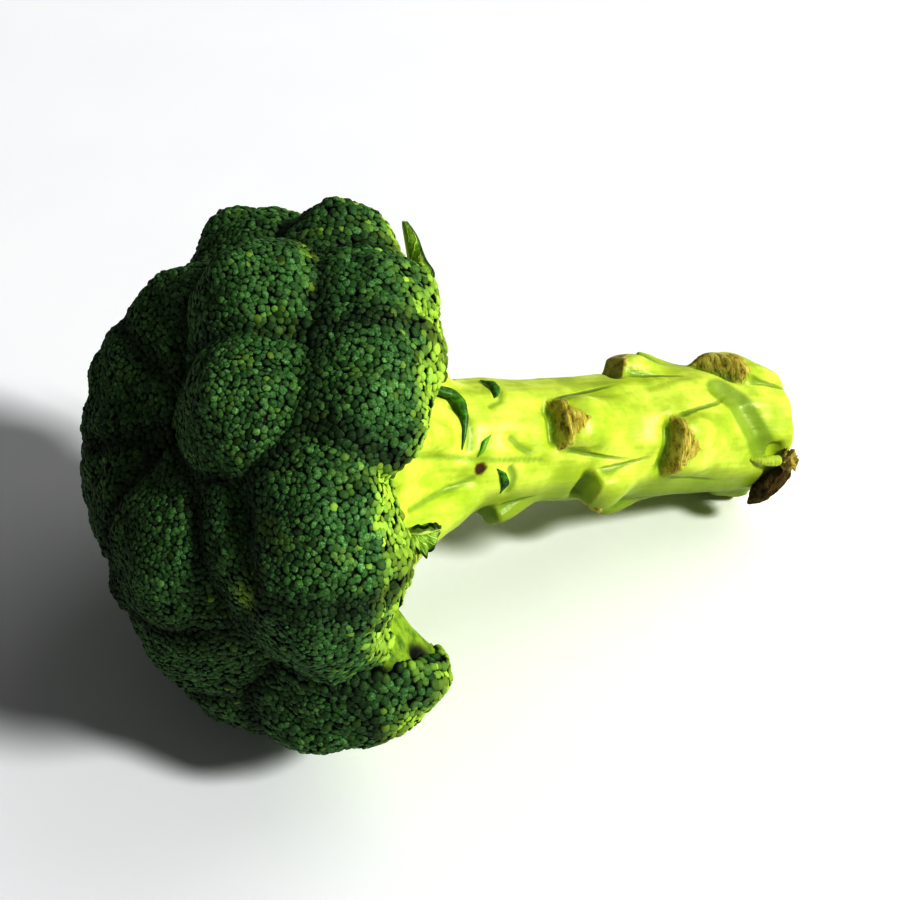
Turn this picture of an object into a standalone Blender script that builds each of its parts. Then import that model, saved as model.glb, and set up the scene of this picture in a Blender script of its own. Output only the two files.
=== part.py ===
"""A broccoli head lying on its side: a thick stalk that branches into arms, a floret on the end of each
arm, and the few small leaves left on it. Metres, +Z up. The stalk runs along +X and the florets rest on Z = 0."""

import math

import bmesh
import bpy
from mathutils import Matrix, Vector

MM = 0.001

# Driving dimensions. The head is a disc of florets, and the stalk leaves its centre squarely.
CROWN_CENTRE = Vector((-53.3, -1.3, 70.0)) * MM
STALK_TILT = math.radians(17.5)  # how far the crown end is raised from level
STALK_LENGTH = 163 * MM  # from the crown's centre to the cut end
STALK_OFFSET = Vector((0, 2, 2)) * MM  # of the stalk's centre line from the crown's centre
GAP = 0.3 * MM  # between pieces that touch

# The stalk's radius at each distance behind the crown's centre, both in millimetres.
STALK_PROFILE = ((172, 20.6), (145, 21.0), (110, 19.6), (78, 18.4), (60, 20), (42, 20), (14, 12), (-4, 7))
ARM_ROOT_RADIUS = 7.0 * MM
SEAT_RADIUS = 4.5 * MM
SKIN_VOXEL = 1.6 * MM
SKIN_SHARE = 0.07  # of the remeshed stalk's faces that are kept

# Directions are given as a lean from the crown's axis and an angle round it, in degrees.
# Round the axis, 0 is up, 90 the near side (-Y), 180 down and 270 the far side.
AXIS = Vector((-math.cos(STALK_TILT), 0, math.sin(STALK_TILT)))
STALK_CENTRE = CROWN_CENTRE + STALK_OFFSET
UPWARD = Vector((math.sin(STALK_TILT), 0, math.cos(STALK_TILT)))
NEARWARD = Vector((0, -1, 0))

# Each floret: lean and angle of its dome's centre, its distance from the crown's centre, and its radius in mm.
FLORETS = {
    "floret_crown": (16, 185, 35, 20),
    "floret_crown_near": (36, 92, 43, 19),
    "floret_crown_far": (38, 296, 41, 19),
    "floret_upper_near": (59, 25, 51, 17),
    "floret_upper_far": (61, 322, 46, 18),
    "floret_middle_near": (58, 72, 43, 17),
    "floret_lower_near": (52, 130, 46, 19),
    "floret_lower_far": (52, 182, 41, 21),
    "floret_far": (52, 240, 43, 21),
    "floret_rim_top": (71, 353, 54, 18),
    "floret_rim_top_far": (102, 336, 60, 16),
    "floret_rim_top_rear": (101, 3, 53, 20),
    "floret_rim_upper_near": (93, 35, 56, 18),
    "floret_rim_near": (80, 59, 54, 20),
    "floret_rim_lower_near": (83, 85, 55, 18),
    "floret_rim_low_near": (92, 129, 59, 19),
    "floret_rim_low_rear": (106, 113, 62, 15),
    "floret_rim_bottom_near": (79, 150, 53, 20),
    "floret_under_near": (98, 164, 57, 20),
    "floret_under_far": (96, 200, 56, 21),
    "floret_rim_lower_far": (89, 233, 54, 21),
    "floret_rim_far": (87, 268, 54, 21),
    "floret_rim_upper_far": (89, 308, 56, 20),
}
# This one hangs from its arm and faces down instead of outwards.
TURNED_DOWN = {"floret_rim_low_rear": (97, 138)}
LOBES_ROUND = 6
LOBE_SHARE = 0.52  # a lobe's radius, as a share of its floret's
LOBE_LEAN = math.radians(73)
LOBE_START = 4 * MM  # above the seat
FLORET_DEPTH = 1.25  # from the dome's centre back to the seat, in floret radii
FORWARD_TURN = 0.55  # how much the florets turn from straight outwards towards the crown's axis

# Leaf cushions on the stalk: distance behind the crown's centre (mm), angle round it, and size as a factor.
CUSHIONS = ((80, 32, 1.0), (111, 320, 1.0), (118, 66, 1.1), (144, 335, 1.3), (92, 104, 0.9),
            (74, 205, 1.0), (104, 160, 1.1), (130, 240, 1.2), (149, 200, 2.1))
CUSHION_SIZE = Vector((9, 5, 17)) * MM

# Each leaf: its foot on the stalk, its knee and its tip (distance behind the crown's centre, distance from
# the stalk's centre line, angle round it), then its blade's width, all in millimetres and degrees, and the
# share of its length that is stem.
LEAVES = {
    "leaf_top": ((50, 18, 328), (38, 42, 333), (32.5, 64, 333), 11, 0.4),
    "leaf_side": ((19, 31.5, 88), (23, 36, 85), (30, 35.5, 84), 10, 0.25),
    "leaf_far": ((60, 18.5, 265), (48, 32, 262), (36, 64, 257), 14, 0.35),
}
LEAF_THICKNESS = 1.2 * MM
LEAF_STEM_WIDTH = 3.2 * MM
LEAF_CURL = 0.35  # how far its edges rise, as a share of its half width

# The torn leaf base near the cut end: it wraps the lower near side of the stalk and reaches the ground.
STUB_ANGLES = (66, 154)
STUB_BACKS = (156, 159)
STUB_OUT = (20.5, 26.2)
STUB_RADIUS = 3.6 * MM

FLORET_GREEN = (0.09, 0.16, 0.05)
STALK_GREEN = (0.52, 0.66, 0.14)
LEAF_GREEN = (0.36, 0.52, 0.10)
STUB_TAN = (0.52, 0.42, 0.20)


def clear_scene():
    for thing in list(bpy.data.objects):
        bpy.data.objects.remove(thing, do_unlink=True)


def new_collection(name):
    group = bpy.data.collections.new(name)
    bpy.context.scene.collection.children.link(group)
    return group


def new_material(name, colour, roughness):
    material = bpy.data.materials.new(name)
    material.use_nodes = True
    shader = material.node_tree.nodes["Principled BSDF"]
    shader.inputs["Base Color"].default_value = (*colour, 1)
    shader.inputs["Roughness"].default_value = roughness
    shader.inputs["Metallic"].default_value = 0
    return material


def pointing(lean, around):
    """The unit vector at this lean from the crown's axis and this angle round it, in degrees."""
    lean, around = math.radians(lean), math.radians(around)
    across = UPWARD * math.cos(around) + NEARWARD * math.sin(around)
    return AXIS * math.cos(lean) + across * math.sin(lean)


def frame_along(direction):
    """A rotation whose Z is this direction."""
    return direction.to_track_quat("Z", "Y").to_matrix().to_4x4()


def object_from(bm, name, group):
    mesh = bpy.data.meshes.new(name)
    bm.to_mesh(mesh)
    bm.free()
    made = bpy.data.objects.new(name, mesh)
    group.objects.link(made)
    return made


def as_cutter(made):
    made.hide_render = True
    made.display_type = "WIRE"
    return made


def evaluated_bmesh(made):
    """The object's mesh with its modifiers applied, in world space."""
    bpy.context.view_layer.update()
    graph = bpy.context.evaluated_depsgraph_get()
    mesh = bpy.data.meshes.new_from_object(made.evaluated_get(graph))
    bm = bmesh.new()
    bm.from_mesh(mesh)
    bm.transform(made.matrix_world)
    bpy.data.meshes.remove(mesh)
    return bm


def add_boolean(body, other, operation, solver="EXACT"):
    modifier = body.modifiers.new(other.name, "BOOLEAN")
    modifier.operation = operation
    modifier.solver = solver
    modifier.object = other


def wrap_convex(bm):
    """Replaces the mesh with the convex hull of its vertices."""
    bmesh.ops.delete(bm, geom=bm.edges[:], context="EDGES_FACES")
    hull = bmesh.ops.convex_hull(bm, input=bm.verts[:])
    spare = [v for v in hull["geom_interior"] + hull["geom_unused"] if isinstance(v, bmesh.types.BMVert)]
    bmesh.ops.delete(bm, geom=list(set(spare)), context="VERTS")
    bmesh.ops.recalc_face_normals(bm, faces=bm.faces[:])


def cut_away(bm, point, normal):
    """Removes what lies on the normal's side of the plane, and closes the cut."""
    everything = bm.verts[:] + bm.edges[:] + bm.faces[:]
    bmesh.ops.bisect_plane(bm, geom=everything, dist=1e-7, plane_co=point, plane_no=normal, clear_outer=True)
    rim = [edge for edge in bm.edges if edge.is_boundary]
    if rim:
        bmesh.ops.holes_fill(bm, edges=rim)


def floret_layout():
    """Each floret's place: its dome, the seat where it meets its arm, and the way it faces."""
    layout = {}
    for name, (lean, around, reach, radius) in FLORETS.items():
        outward = pointing(lean, around)
        centre = CROWN_CENTRE + outward * reach * MM
        facing = (outward + AXIS * FORWARD_TURN * math.sin(math.radians(lean))).normalized()
        if name in TURNED_DOWN:
            facing = pointing(*TURNED_DOWN[name])
        seat = centre - facing * radius * FLORET_DEPTH * MM
        layout[name] = {"outward": outward, "reach": reach, "radius": radius * MM, "centre": centre,
                        "facing": facing, "seat": seat}
    return layout


def dividing_planes(name, layout):
    """The planes through the crown's centre that part a floret from the neighbours that press on it."""
    own = layout[name]
    own_half = math.asin(own["radius"] / MM / own["reach"])
    planes = []
    for other_name, other in layout.items():
        if other_name == name:
            continue
        half = math.asin(other["radius"] / MM / other["reach"])
        apart = own["outward"].angle(other["outward"])
        if apart < (own_half + half) * 1.25:
            normal = other["outward"] / math.cos(half) - own["outward"] / math.cos(own_half)
            planes.append(normal.normalized())
    return planes


def lobe_shape(foot, foot_radius, centre, radius):
    """A drop shape: a round dome that narrows to a small flat foot."""
    bm = bmesh.new()
    turned = frame_along(centre - foot)
    bmesh.ops.create_uvsphere(
        bm, u_segments=8, v_segments=6, radius=radius, matrix=Matrix.Translation(centre) @ turned
    )
    bmesh.ops.create_circle(bm, segments=8, radius=foot_radius, matrix=Matrix.Translation(foot) @ turned)
    wrap_convex(bm)
    return bm


def lobe_centres(place):
    """One lobe in the middle of the dome and a ring of them round it."""
    turn = frame_along(place["facing"])
    inner = place["radius"] * (1 - LOBE_SHARE)
    centres = [place["centre"] + place["facing"] * inner]
    for index in range(LOBES_ROUND):
        angle = math.tau * index / LOBES_ROUND + place["reach"]
        side = Vector((math.cos(angle) * math.sin(LOBE_LEAN), math.sin(angle) * math.sin(LOBE_LEAN),
                       math.cos(LOBE_LEAN)))
        centres.append(place["centre"] + turn @ side * inner)
    return centres


def floret(name, layout, material, group):
    place = layout[name]
    radius = place["radius"] * LOBE_SHARE
    lobes = []
    for index, centre in enumerate(lobe_centres(place)):
        # The outer lobes start inside the middle one, which alone reaches the seat.
        foot = place["seat"] + place["facing"] * (LOBE_START if index else 0)
        foot_radius = SEAT_RADIUS * (0.7 if index else 1)
        lobes.append(object_from(lobe_shape(foot, foot_radius, centre, radius), f"{name}_lobe_{index}", group))
    for lobe in lobes[1:]:
        add_boolean(lobes[0], lobe, "UNION")
    bm = evaluated_bmesh(lobes[0])
    for lobe in lobes:
        bpy.data.objects.remove(lobe, do_unlink=True)
    for normal in dividing_planes(name, layout):
        cut_away(bm, CROWN_CENTRE - normal * GAP / 2, normal)
    cut_away(bm, Vector((0, 0, 0)), Vector((0, 0, -1)))
    bmesh.ops.remove_doubles(bm, verts=bm.verts[:], dist=0.02 * MM)
    bmesh.ops.triangulate(bm, faces=bm.faces[:])
    bmesh.ops.recalc_face_normals(bm, faces=bm.faces[:])
    bm.transform(Matrix.Translation(-place["seat"]))
    made = object_from(bm, name, group)
    made.location = place["seat"]
    made.data.materials.append(material)
    made.data.shade_smooth()
    made.data.set_sharp_from_angle(angle=math.radians(40))
    return made


def grown_hull(made, group):
    """A cutter that wraps the object and stands a gap outside it."""
    bm = evaluated_bmesh(made)
    wrap_convex(bm)
    bm.normal_update()
    for vertex in bm.verts:
        vertex.co += vertex.normal * GAP * 1.5
    return as_cutter(object_from(bm, f"room_for_{made.name}", group))


def tube(name, points, radii, group):
    """A closed round tube through the points, as a mesh."""
    curve = bpy.data.curves.new(name, "CURVE")
    curve.dimensions = "3D"
    curve.bevel_depth = 1
    curve.bevel_resolution = 4
    curve.use_fill_caps = True
    spline = curve.splines.new("POLY")
    spline.points.add(len(points) - 1)
    for point, place, radius in zip(spline.points, points, radii):
        point.co = (*place, 1)
        point.radius = radius
    made = bpy.data.objects.new(name, curve)
    group.objects.link(made)
    bm = evaluated_bmesh(made)
    bpy.data.objects.remove(made, do_unlink=True)
    bmesh.ops.remove_doubles(bm, verts=bm.verts[:], dist=0.01 * MM)
    return bm


def bezier(start, first, second, end, share):
    rest = 1 - share
    return (start * rest**3 + first * 3 * rest**2 * share + second * 3 * rest * share**2 + end * share**3)


def trunk(group):
    points = [STALK_CENTRE - AXIS * back * MM for back, _ in STALK_PROFILE]
    return tube("trunk", points, [radius * MM for _, radius in STALK_PROFILE], group)


def arm(name, place, group):
    """A branch from inside the trunk out to a floret's seat. The outer florets branch off lower down."""
    lean = place["outward"].angle(AXIS)
    root = STALK_CENTRE - AXIS * (4 + 31 * lean) * MM
    end = place["seat"] + place["facing"] * 2 * MM
    reach = (end - root).length
    leaving = (place["outward"] + AXIS * 0.5).normalized()
    bends = (root, root + leaving * reach * 0.35, end - place["facing"] * reach * 0.35, end)
    steps = 8
    points = [bezier(*bends, step / steps) for step in range(steps + 1)]
    radii = [ARM_ROOT_RADIUS + (SEAT_RADIUS - ARM_ROOT_RADIUS) * step / steps for step in range(steps + 1)]
    return tube(f"arm_{name}", points, radii, group)


def cushion(back, around, factor):
    """A leaf's base on the stalk: a long swelling that rises towards the crown and stops at its scar."""
    outward = pointing(90, around)
    foot = STALK_CENTRE - AXIS * back * MM + outward * 17 * MM
    along = (AXIS + outward * 0.22).normalized()
    across = along.cross(outward).normalized()
    turned = Matrix((across, across.cross(along), along)).transposed().to_4x4()
    size = Matrix.Diagonal((*(CUSHION_SIZE * factor), 1))
    bm = bmesh.new()
    place = Matrix.Translation(foot - along * CUSHION_SIZE.z * factor * 0.6) @ turned @ size
    bmesh.ops.create_uvsphere(bm, u_segments=16, v_segments=12, radius=1, matrix=place)
    cut_away(bm, foot, (along + outward * 0.5).normalized())
    return bm


def merge_into(bm, other):
    """Adds another shell to the mesh."""
    mesh = bpy.data.meshes.new("shell")
    other.to_mesh(mesh)
    other.free()
    bm.from_mesh(mesh)
    bpy.data.meshes.remove(mesh)


def stalk(layout, material, group, cutters, rooms):
    bm = trunk(group)
    for name, place in layout.items():
        merge_into(bm, arm(name, place, group))
    for row in CUSHIONS:
        merge_into(bm, cushion(*row))
    made = object_from(bm, "stalk", group)
    skin = made.modifiers.new("skin", "REMESH")
    skin.mode = "VOXEL"
    skin.voxel_size = SKIN_VOXEL
    blend = made.modifiers.new("blend", "SMOOTH")
    blend.factor = 0.5
    blend.iterations = 4
    thin = made.modifiers.new("thin", "DECIMATE")
    thin.ratio = SKIN_SHARE
    end = cutting_block("cut_end", STALK_CENTRE - AXIS * STALK_LENGTH, -AXIS, cutters)
    floor = cutting_block("cut_floor", Vector((0, 0, 0)), Vector((0, 0, -1)), cutters)
    # The exact solver loses the body after a few cuts in this freely curved skin.
    for other in [end, floor, *rooms]:
        add_boolean(made, other, "DIFFERENCE", "MANIFOLD")
    made.data.materials.append(material)
    made.data.shade_smooth()
    return made


def spot(back, out, around):
    """A point this far behind the crown's centre, and this far from the stalk's centre line, in mm."""
    return STALK_CENTRE + (pointing(90, around) * out - AXIS * back) * MM


def leaf(name, row, grow, group):
    """A curled blade on a narrow stem that leaves the stalk. With grow, the space it takes with a gap."""
    foot, knee, tip = (spot(*place) for place in row[:3])
    width, stem = row[3:]
    foot -= (knee - foot).normalized() * grow
    along = (tip - knee).normalized()
    tip += along * grow
    across = along.cross(pointing(90, row[2][2])).normalized()
    face = across.cross(along).normalized()
    bm = bmesh.new()
    bmesh.ops.create_grid(bm, x_segments=4, y_segments=12, size=1)
    for vertex in bm.verts:
        side, share = vertex.co.x, (vertex.co.y + 1) / 2
        spread = math.sin(math.pi * (0.12 + 0.8 * (share - stem) / (1 - stem))) if share > stem else 0
        half = max(LEAF_STEM_WIDTH / 2, width * MM / 2 * spread**0.8) + grow
        rib = bezier(foot, knee, knee, tip, share)
        vertex.co = rib + across * side * half + face * side**2 * half * LEAF_CURL
    made = object_from(bm, name, group)
    shell = made.modifiers.new("thickness", "SOLIDIFY")
    shell.thickness = LEAF_THICKNESS + 2 * grow
    shell.offset = 0
    return made


def stub(name, grow, group):
    """The torn base of a leaf's stem, a thick rib that lies round part of the stalk."""
    steps = 10
    points, radii = [], []
    for step in range(steps + 1):
        share = step / steps
        around = STUB_ANGLES[0] + (STUB_ANGLES[1] - STUB_ANGLES[0]) * share
        back = STUB_BACKS[0] + (STUB_BACKS[1] - STUB_BACKS[0]) * share
        out = STUB_OUT[0] + (STUB_OUT[1] - STUB_OUT[0]) * share
        points.append(spot(back, out, around))
        radii.append(STUB_RADIUS * (0.6 + 0.4 * math.sin(math.pi * (0.1 + 0.7 * share))) + grow)
    bm = tube(name, points, radii, group)
    cut_away(bm, Vector((0, 0, 0)), Vector((0, 0, -1)))
    return object_from(bm, name, group)


def cutting_block(name, point, normal, group):
    """A large box that lies on the normal's side of the plane."""
    side = 0.4
    bm = bmesh.new()
    place = Matrix.Translation(point + normal * side / 2) @ frame_along(normal)
    bmesh.ops.create_cube(bm, size=side, matrix=place)
    return as_cutter(object_from(bm, name, group))


def main():
    clear_scene()
    parts = new_collection("broccoli_head")
    cutters = new_collection("cutters")
    green = new_material("floret_green", FLORET_GREEN, 0.75)
    pale = new_material("stalk_green", STALK_GREEN, 0.4)
    leafy = new_material("leaf_green", LEAF_GREEN, 0.5)
    tan = new_material("stub_tan", STUB_TAN, 0.8)
    layout = floret_layout()
    florets = [floret(name, layout, green, parts) for name in layout]
    rooms = [grown_hull(made, cutters) for made in florets]
    for name, row in LEAVES.items():
        leaf(name, row, 0, parts).data.materials.append(leafy)
        rooms.append(as_cutter(leaf(f"room_for_{name}", row, GAP * 2, cutters)))
    stub("leaf_stub", 0, parts).data.materials.append(tan)
    rooms.append(as_cutter(stub("room_for_leaf_stub", GAP, cutters)))
    stalk(layout, pale, parts, cutters, rooms)


main()
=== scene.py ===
import math

import bpy
import numpy as np
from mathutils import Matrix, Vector, kdtree, noise
from mathutils.bvhtree import BVHTree


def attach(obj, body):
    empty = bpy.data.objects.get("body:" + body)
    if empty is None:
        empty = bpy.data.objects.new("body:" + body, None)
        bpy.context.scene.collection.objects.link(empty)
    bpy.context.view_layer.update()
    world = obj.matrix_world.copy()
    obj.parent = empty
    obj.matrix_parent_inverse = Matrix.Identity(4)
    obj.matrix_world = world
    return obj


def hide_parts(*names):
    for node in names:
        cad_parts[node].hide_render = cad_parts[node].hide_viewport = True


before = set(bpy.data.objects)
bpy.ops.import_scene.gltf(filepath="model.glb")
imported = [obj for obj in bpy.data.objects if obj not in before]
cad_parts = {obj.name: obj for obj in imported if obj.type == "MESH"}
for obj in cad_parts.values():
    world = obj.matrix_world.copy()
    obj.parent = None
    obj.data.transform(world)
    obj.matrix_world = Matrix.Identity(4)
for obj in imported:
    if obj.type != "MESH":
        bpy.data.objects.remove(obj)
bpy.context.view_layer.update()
mm = 0.001
tiny = 1e-12  # added to lengths that may be zero
rng = np.random.default_rng(23)

# the crown's middle and how the stalk lies, in mm and degrees
head = {"middle": (-53.3, -1.3, 70.0), "tilt": 17.5, "stalkShift": (0, 2, 2)}
crownMiddle = Vector(head["middle"]) * mm
stalkMiddle = crownMiddle + Vector(head["stalkShift"]) * mm
tilt = math.radians(head["tilt"])
axis = Vector((-math.cos(tilt), 0, math.sin(tilt)))
upward = Vector((math.sin(tilt), 0, math.cos(tilt)))
nearward = Vector((0, -1, 0))


def pointing(lean, around):
    lean, around = math.radians(lean), math.radians(around)
    return axis * math.cos(lean) + (upward * math.cos(around) + nearward * math.sin(around)) * math.sin(lean)


def smooth(low, high, value):
    share = np.clip((value - low) / (high - low), 0, 1)
    return share * share * (3 - 2 * share)


def unit(ways, least=0.0):
    return ways / (np.linalg.norm(ways, axis=1)[:, None] + least)


def awayFrom(middle, places):
    return np.linalg.norm(places - np.array(middle), axis=1)


def degreesFrom(way, ways):
    return np.degrees(np.arccos(np.clip(ways @ np.array(way), -1, 1)))


def onCrown(lean, around, reach):
    return crownMiddle + pointing(lean, around) * reach * mm


def only(*objects):
    bpy.ops.object.select_all(action="DESELECT")
    for thing in objects:
        thing.select_set(True)
    bpy.context.view_layer.objects.active = objects[0]


def addModifier(thing, kind, **settings):
    only(thing)
    bpy.ops.object.modifier_add(type=kind)
    modifier = thing.modifiers[-1]
    for key, value in settings.items():
        setattr(modifier, key, value)
    bpy.ops.object.modifier_apply(modifier=modifier.name)


def remesh(thing, voxel):
    addModifier(thing, "REMESH", mode="VOXEL", voxel_size=voxel * mm)


def ease(thing, rounds):
    addModifier(thing, "SMOOTH", factor=0.5, iterations=rounds)


def faceOutwards(thing, merge=0.0):
    only(thing)
    bpy.ops.object.mode_set(mode="EDIT")
    bpy.ops.mesh.select_all(action="SELECT")
    if merge:
        bpy.ops.mesh.remove_doubles(threshold=merge * mm)
    bpy.ops.mesh.normals_make_consistent(inside=False)
    bpy.ops.object.mode_set(mode="OBJECT")


def copyOfNode(node, name):
    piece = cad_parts[node].copy()
    piece.data = piece.data.copy()
    piece.parent = None
    piece.name = name
    for key in list(piece.keys()):
        del piece[key]
    bpy.context.collection.objects.link(piece)
    piece.data.materials.clear()
    faceOutwards(piece, 0.01)
    return piece


def newPiece(name, mesh):
    piece = bpy.data.objects.new(name, mesh)
    bpy.context.collection.objects.link(piece)
    only(piece)
    bpy.ops.object.shade_smooth()
    return piece


def readOut(items, name, wide=1, kind=np.int32):
    values = np.empty(len(items) * wide, kind)
    items.foreach_get(name, values)
    return values


def placesOf(mesh):
    return readOut(mesh.vertices, "co", 3, np.float32).reshape(-1, 3).astype(float)


def normalsOf(mesh):
    return readOut(mesh.vertex_normals, "vector", 3, np.float32).reshape(-1, 3).astype(float)


def trianglesOf(mesh):
    mesh.calc_loop_triangles()
    return readOut(mesh.loop_triangles, "vertices", 3).reshape(-1, 3)


def setPlaces(mesh, places):
    mesh.vertices.foreach_set("co", places.astype(np.float32).ravel())
    mesh.update()


def setValues(mesh, name, values):
    layer = mesh.attributes.get(name) or mesh.attributes.new(name, "FLOAT", "POINT")
    layer.data.foreach_set("value", np.asarray(values, np.float32))


def treeOf(points):
    tree = kdtree.KDTree(len(points))
    for number, point in enumerate(points):
        tree.insert(point, number)
    tree.balance()
    return tree


def nearestOf(tree, points):
    found = [tree.find(point)[1:] for point in points]
    return np.array([f[0] for f in found], int), np.array([f[1] for f in found])


def thinned(points, spacing):
    tree = treeOf(points)
    free = np.ones(len(points), bool)
    kept = []
    for number, point in enumerate(points):
        if free[number]:
            kept.append(number)
            for found in tree.find_range(point, spacing[number]):
                free[found[1]] = False
    return np.array(kept, int)


def wander(points, size, shift=0.0):
    return np.array([noise.noise(Vector(p) / size + Vector((shift, shift, shift))) for p in points])


def spot(back, out, around):
    return stalkMiddle + (pointing(90, around) * out - axis * back) * mm


def backOf(places):
    return -((places - np.array(stalkMiddle)) @ np.array(axis)) / mm


# paths drawn through a few spots, and balls drawn out along them
sweep = {"points": 200, "marks": 40, "easing": 12, "step": 0.02, "ends": 0.45,
         "roughAround": 3.2, "roughAlong": 5}


def pathThrough(spots, shares):
    points = np.array([spot(*place) for place in spots])
    steps = np.linspace(0, 1, len(points))
    fine = np.linspace(0, 1, sweep["points"])
    line = np.stack([np.interp(fine, steps, points[:, k]) for k in range(3)], 1)
    for _ in range(sweep["easing"]):
        line[1:-1] = (line[:-2] + 2 * line[1:-1] + line[2:]) / 4
    return np.stack([np.interp(shares, fine, line[:, k]) for k in range(3)], 1)


def sweepBall(name, spots, radii, flat=1.0, rough=0.0, segments=20, rings=40):
    # a ball drawn out along a path, flattened towards the stalk
    bpy.ops.mesh.primitive_uv_sphere_add(segments=segments, ring_count=rings, radius=1)
    piece = bpy.context.object
    piece.name = name
    ball = placesOf(piece.data)
    share = np.arccos(np.clip(-ball[:, 2], -1, 1)) / math.pi
    turn = np.arctan2(ball[:, 1], ball[:, 0])
    middle = pathThrough(spots, share)
    ahead = unit(pathThrough(spots, np.minimum(share + sweep["step"], 1))
                 - pathThrough(spots, np.maximum(share - sweep["step"], 0)), tiny)
    fromAxis = middle - np.array(stalkMiddle)
    outward = fromAxis - (fromAxis @ np.array(axis))[:, None] * np.array(axis)
    outward -= (outward * ahead).sum(1)[:, None] * ahead
    outward = unit(outward, tiny)
    across = np.cross(ahead, outward)
    ends = np.sin(math.pi * share) ** sweep["ends"]
    radius = np.interp(share, np.linspace(0, 1, len(radii)), radii) * mm * ends
    if rough:
        wide, long = sweep["roughAround"], sweep["roughAlong"]
        bumps = [noise.noise(Vector((math.cos(t) * wide, math.sin(t) * wide, q * long)))
                 for t, q in zip(turn, share)]
        radius = radius * (1 + rough * np.array(bumps))
    setPlaces(piece.data, middle + across * (np.cos(turn) * radius)[:, None]
              + outward * (np.sin(turn) * radius * flat)[:, None])
    only(piece)
    bpy.ops.object.shade_smooth()
    return piece


# a shader socket: plain expressions on it add their nodes
class Wire:
    def __init__(self, tree, socket):
        self.tree, self.socket = tree, socket

    def node(self, kind, settings=None, values=None, out=0):
        made = self.tree.nodes.new(kind)
        for key, value in (settings or {}).items():
            setattr(made, key, value)
        for key, value in (values or {}).items():
            if isinstance(value, Wire):
                self.tree.links.new(value.socket, made.inputs[key])
            else:
                made.inputs[key].default_value = value
        return Wire(self.tree, made.outputs[out])

    def maths(self, operation, *others):
        values = dict(enumerate((self,) + others))
        return self.node("ShaderNodeMath", {"operation": operation}, values)

    def __add__(self, other): return self.maths("ADD", other)
    def __radd__(self, other): return self.maths("ADD", other)
    def __sub__(self, other): return self.maths("SUBTRACT", other)
    def __rsub__(self, other): return (self * -1.0).maths("ADD", other)
    def __mul__(self, other): return self.maths("MULTIPLY", other)
    def __rmul__(self, other): return self.maths("MULTIPLY", other)
    def __truediv__(self, other): return self.maths("DIVIDE", other)
    def __rtruediv__(self, other): return self.maths("POWER", -1.0) * other
    def __abs__(self): return self.maths("ABSOLUTE")

    def most(self, other): return self.maths("MAXIMUM", other)

    def between(self, low, high):
        return self.node("ShaderNodeMapRange", {"interpolation_type": "SMOOTHSTEP"},
                         {"Value": self, "From Min": low, "From Max": high})

    def vector(self, operation, other, out=0):
        return self.node("ShaderNodeVectorMath", {"operation": operation}, {0: self, 1: other}, out)

    def dot(self, direction):
        return self.vector("DOT_PRODUCT", tuple(direction), 1)

    def blend(self, low, high):
        return self.node("ShaderNodeMix", {"data_type": "RGBA", "blend_type": "MIX", "clamp_factor": True},
                         {0: self, 6: low, 7: high}, 2)

    def grain(self, size, detail):
        return self.node("ShaderNodeTexNoise", {"noise_dimensions": "3D"},
                         {"Vector": self, "Scale": 1 / (size * mm), "Detail": detail, "Roughness": 0.55})

    def fibre(self):
        return self.node("ShaderNodeTexNoise", None,
                         {"Vector": self, "Scale": 1.0, "Detail": 5.0, "Roughness": 0.65})

    def joined(self, second, third):
        return self.node("ShaderNodeCombineXYZ", None, {0: self, 1: second, 2: third})

    def value(self, name):
        return self.node("ShaderNodeAttribute", {"attribute_type": "GEOMETRY", "attribute_name": name}, None, 2)


def colour(red, green, blue):
    return tuple((c / 255) ** 2.2 for c in (red, green, blue)) + (1.0,)


def newMaterial(name):
    material = bpy.data.materials.new(name)
    material.use_nodes = True
    tree = material.node_tree
    skin = tree.nodes["Principled BSDF"]
    place = Wire(tree, tree.nodes.new("ShaderNodeTexCoord").outputs["Object"])
    return material, skin, place


def plug(skin, **links):
    for name, value in links.items():
        socket = skin.inputs[name.replace("_", " ")]
        if isinstance(value, Wire):
            value.tree.links.new(value.socket, socket)
        else:
            socket.default_value = value


def alongStalk(place):
    # the place seen from the stalk's middle line: back, high and near are in mm
    fromMiddle = place.vector("SUBTRACT", tuple(stalkMiddle))
    return fromMiddle, *(fromMiddle.dot(way) / mm for way in (-axis, upward, nearward))


def bumpOf(height, strength, distance):
    return height.node("ShaderNodeBump", None,
                       {"Height": height, "Strength": strength, "Distance": distance * mm})


# grain sizes in mm; each range is a height up the bud, from 0 at its foot to 1 at its tip
# the gap colour is painted shade at the buds' feet, between the packed buds
budLook = {
    "gap": colour(6, 15, 5), "side": colour(34, 72, 26), "top": colour(66, 114, 52),
    "bloom": colour(138, 172, 124), "yellowSide": colour(92, 122, 20), "yellowTop": colour(186, 214, 84),
    "mottle": 0.5, "broad": 14, "fine": 0.16, "gloss": 0.35,
    "outOfGapShade": (0.3, 0.68), "sideToTop": (0.45, 0.95), "bloomOnTop": (0.55, 1.05), "bloomPatches": (0.35, 0.7),
}


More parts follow.
